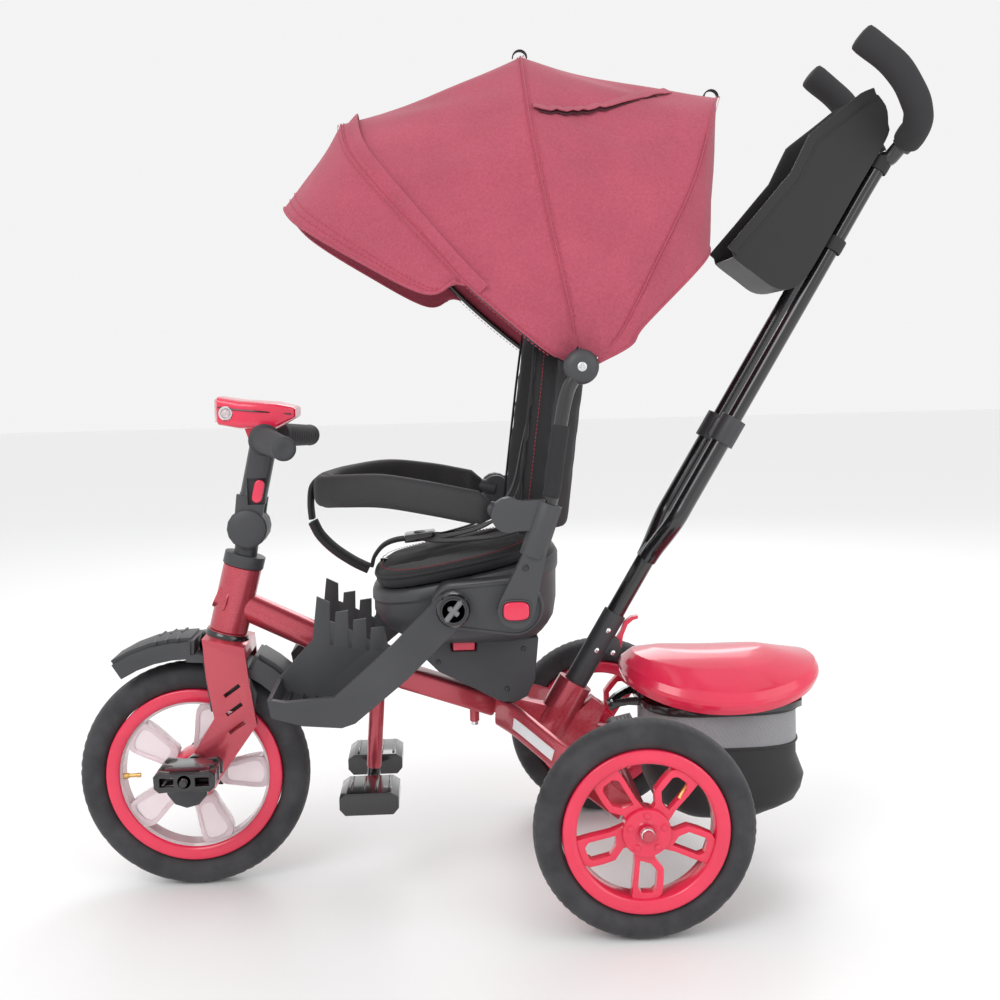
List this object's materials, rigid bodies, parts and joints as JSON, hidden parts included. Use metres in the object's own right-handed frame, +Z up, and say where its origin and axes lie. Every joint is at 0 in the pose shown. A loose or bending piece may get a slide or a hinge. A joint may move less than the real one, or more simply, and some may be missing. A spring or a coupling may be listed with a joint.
{
  "type": "tricycle",
  "caption": "Child's push-along tricycle: pedal front wheel, swivel seat with guard ring and folding canopy, parent's push handle and rear basket.",
  "frame": {"origin": "on the ground under the middle of the bounding box", "axes": "+X towards the rear, +Y towards the rider's right, +Z up; the tricycle faces -X"},
  "size_m": [1.0994, 0.512, 1.0754],
  "materials": {
    "frame_paint": "red metallic lacquer with a fine flake",
    "charcoal_plastic": "satin moulded charcoal plastic",
    "red_plastic": "glossy pinkish-red plastic",
    "clear_plastic": "clear moulded plastic",
    "black_plastic": "glossy black plastic",
    "axle_steel": "plated steel tube and axle",
    "tyre_rubber": "dark moulded foam rubber with side grooves",
    "grip_rubber": "ribbed dark grey rubber",
    "grip_foam": "soft black foam",
    "handle_tube": "gloss black lacquer",
    "rail_wire": "gloss black lacquer",
    "black_fabric": "black woven padding with dark red stitching",
    "bag_fabric": "black nylon",
    "basket_fabric": "black cloth with a pale mesh band",
    "canopy_fabric": "heather pinkish-red canopy cloth"
  },
  "bodies": {
    "frame": {"head_tube": "frame_paint", "main_tube": "frame_paint", "swivel_housing": "charcoal_plastic", "rear_yoke_left": "frame_paint", "rear_yoke_right": "frame_paint", "rear_axle": "axle_steel", "handle_socket": "frame_paint", "basket_rail": "rail_wire", "basket": "basket_fabric", "peg_link": "charcoal_plastic", "handle_sleeve": "charcoal_plastic", "lower_handle": "handle_tube", "handle_clamp": "charcoal_plastic"},
    "steering": {"fork": "frame_paint", "mudguard": "charcoal_plastic", "stem_ball": "charcoal_plastic"},
    "handlebar": {"handlebar_stem": "charcoal_plastic", "handlebar_grip_left": "grip_rubber", "handlebar_grip_right": "grip_rubber", "light_panel": "red_plastic"},
    "stem_button": {"stem_button": "red_plastic"},
    "front_wheel": {"front_tyre": "tyre_rubber", "front_rim": "red_plastic", "front_spokes": "clear_plastic"},
    "crank": {"crank": "axle_steel"},
    "pedal_left": {"pedal_left": "black_plastic"},
    "pedal_right": {"pedal_right": "black_plastic"},
    "rear_wheel_left": {"rear_tyre_left": "tyre_rubber", "rear_rim_left": "red_plastic"},
    "rear_wheel_right": {"rear_tyre_right": "tyre_rubber", "rear_rim_right": "red_plastic"},
    "brake_pedal": {"brake_pedal": "charcoal_plastic"},
    "swivel_lever": {"swivel_lever": "red_plastic"},
    "seat": {"seat_shell": "charcoal_plastic", "seat_cushion": "black_fabric", "harness": "black_fabric", "crotch_strap": "black_fabric"},
    "footrest_left": {"footrest_left": "charcoal_plastic"},
    "footrest_right": {"footrest_right": "charcoal_plastic"},
    "backrest": {"backrest_cushion": "black_fabric", "back_arm_left": "charcoal_plastic", "back_arm_right": "charcoal_plastic", "canopy_post_left": "handle_tube", "canopy_post_right": "handle_tube", "canopy_hoop_rear": "handle_tube", "canopy_cloth_rear": "canopy_fabric"},
    "recline_button_left": {"recline_button_left": "red_plastic"},
    "recline_button_right": {"recline_button_right": "red_plastic"},
    "guard_bar": {"guard_bar": "black_fabric"},
    "canopy_front": {"canopy_hoop_front": "handle_tube", "canopy_visor": "canopy_fabric"},
    "canopy_middle": {"canopy_hoop_middle": "handle_tube", "canopy_cloth_front": "canopy_fabric"},
    "foot_pegs": {"foot_pegs": "charcoal_plastic"},
    "push_handle": {"upper_handle": "handle_tube", "handle_grip_left": "grip_foam", "handle_grip_right": "grip_foam", "bag": "bag_fabric"},
    "release_lever": {"release_lever": "red_plastic"},
    "basket_lid": {"basket_lid": "red_plastic"}
  },
  "joints": [
    {"name": "steering_turn", "type": "hinge", "parent": "frame", "child": "steering", "pos_m": [-0.3997, 0, 0.15], "axis": [0.2554, 0, 0.9668], "range_deg": [-20, 20]},
    {"name": "handlebar_tilt", "type": "hinge", "parent": "steering", "child": "handlebar", "pos_m": [-0.31671, 0, 0.475], "axis": [0, 1, 0], "range_deg": [-10, 12]},
    {"name": "stem_button_press", "type": "slide", "parent": "handlebar", "child": "stem_button", "axis": [0, 1, 0], "range_m": [0, 0.003], "stiffness_N_per_m": 400},
    {"name": "front_wheel_roll", "type": "hinge", "parent": "steering", "child": "front_wheel", "pos_m": [-0.3997, 0, 0.15], "axis": [0, 1, 0], "continuous": true},
    {"name": "crank_turn", "type": "hinge", "parent": "steering", "child": "crank", "pos_m": [-0.3997, 0, 0.15], "axis": [0, 1, 0], "continuous": true},
    {"name": "pedal_left_spin", "type": "hinge", "parent": "crank", "child": "pedal_left", "pos_m": [-0.38871, -0.106, 0.18], "axis": [0, 1, 0], "continuous": true},
    {"name": "pedal_right_spin", "type": "hinge", "parent": "crank", "child": "pedal_right", "pos_m": [-0.4107, 0.106, 0.12], "axis": [0, 1, 0], "continuous": true},
    {"name": "rear_wheel_left_roll", "type": "hinge", "parent": "frame", "child": "rear_wheel_left", "pos_m": [0.16329, -0.225, 0.132], "axis": [0, 1, 0], "continuous": true},
    {"name": "rear_wheel_right_roll", "type": "hinge", "parent": "frame", "child": "rear_wheel_right", "pos_m": [0.16329, 0.225, 0.132], "axis": [0, 1, 0], "continuous": true},
    {"name": "brake_press", "type": "hinge", "parent": "frame", "child": "brake_pedal", "pos_m": [0.16029, 0, 0.186], "axis": [0, 1, 0], "range_deg": [0, 15]},
    {"name": "swivel_lever_pull", "type": "slide", "parent": "frame", "child": "swivel_lever", "axis": [0, -1, 0], "range_m": [0, 0.008], "stiffness_N_per_m": 400},
    {"name": "seat_swivel", "type": "hinge", "parent": "frame", "child": "seat", "pos_m": [-0.0317, 0, 0.329], "axis": [0, 0, -1], "range_deg": [-6, 6]},
    {"name": "footrest_left_fold", "type": "hinge", "parent": "seat", "child": "footrest_left", "pos_m": [-0.0547, -0.18, 0.392], "axis": [0, 1, 0], "range_deg": [-20, 0]},
    {"name": "footrest_right_fold", "type": "hinge", "parent": "seat", "child": "footrest_right", "pos_m": [-0.0547, 0.18, 0.392], "axis": [0, 1, 0], "range_deg": [-20, 0]},
    {"name": "backrest_recline", "type": "hinge", "parent": "seat", "child": "backrest", "pos_m": [0.01929, 0, 0.389], "axis": [0, 1, 0], "range_deg": [0, 5]},
    {"name": "recline_button_left_press", "type": "slide", "parent": "backrest", "child": "recline_button_left", "axis": [0, 1, 0], "range_m": [0, 0.004], "stiffness_N_per_m": 400},
    {"name": "recline_button_right_press", "type": "slide", "parent": "backrest", "child": "recline_button_right", "axis": [0, -1, 0], "range_m": [0, 0.004], "stiffness_N_per_m": 400},
    {"name": "guard_lift", "type": "hinge", "parent": "backrest", "child": "guard_bar", "pos_m": [0.01329, 0, 0.502], "axis": [0, 1, 0], "range_deg": [0, 38], "deforming": ["crotch_strap", "harness"]},
    {"name": "canopy_fold", "type": "hinge", "parent": "backrest", "child": "canopy_middle", "pos_m": [0.10229, 0, 0.674], "axis": [0, 1, 0], "range_deg": [0, 14], "deforming": ["canopy_cloth_front", "canopy_cloth_rear"]},
    {"name": "canopy_front_fold", "type": "hinge", "parent": "canopy_middle", "child": "canopy_front", "pos_m": [0.10229, 0, 0.674], "axis": [0, 1, 0], "range_deg": [0, 14]},
    {"name": "foot_pegs_fold", "type": "hinge", "parent": "frame", "child": "foot_pegs", "pos_m": [-0.15671, 0, 0.254], "axis": [0, -1, 0], "range_deg": [0, 55]},
    {"name": "push_handle_extend", "type": "slide", "parent": "frame", "child": "push_handle", "axis": [0.509, 0, 0.8607], "range_m": [-0.08, 0]},
    {"name": "release_lever_press", "type": "hinge", "parent": "frame", "child": "release_lever", "pos_m": [0.16329, 0, 0.302], "axis": [0, 1, 0], "range_deg": [0, 15], "stiffness_Nm_per_rad": 0.05},
    {"name": "basket_lid_open", "type": "hinge", "parent": "frame", "child": "basket_lid", "pos_m": [0.19029, 0, 0.262], "axis": [0, -1, 0], "range_deg": [0, 40]}
  ],
  "couplings": [
    {"joint": "crank_turn", "follows": "front_wheel_roll", "ratio": 1},
    {"joint": "canopy_front_fold", "follows": "canopy_fold", "ratio": 1}
  ]
}
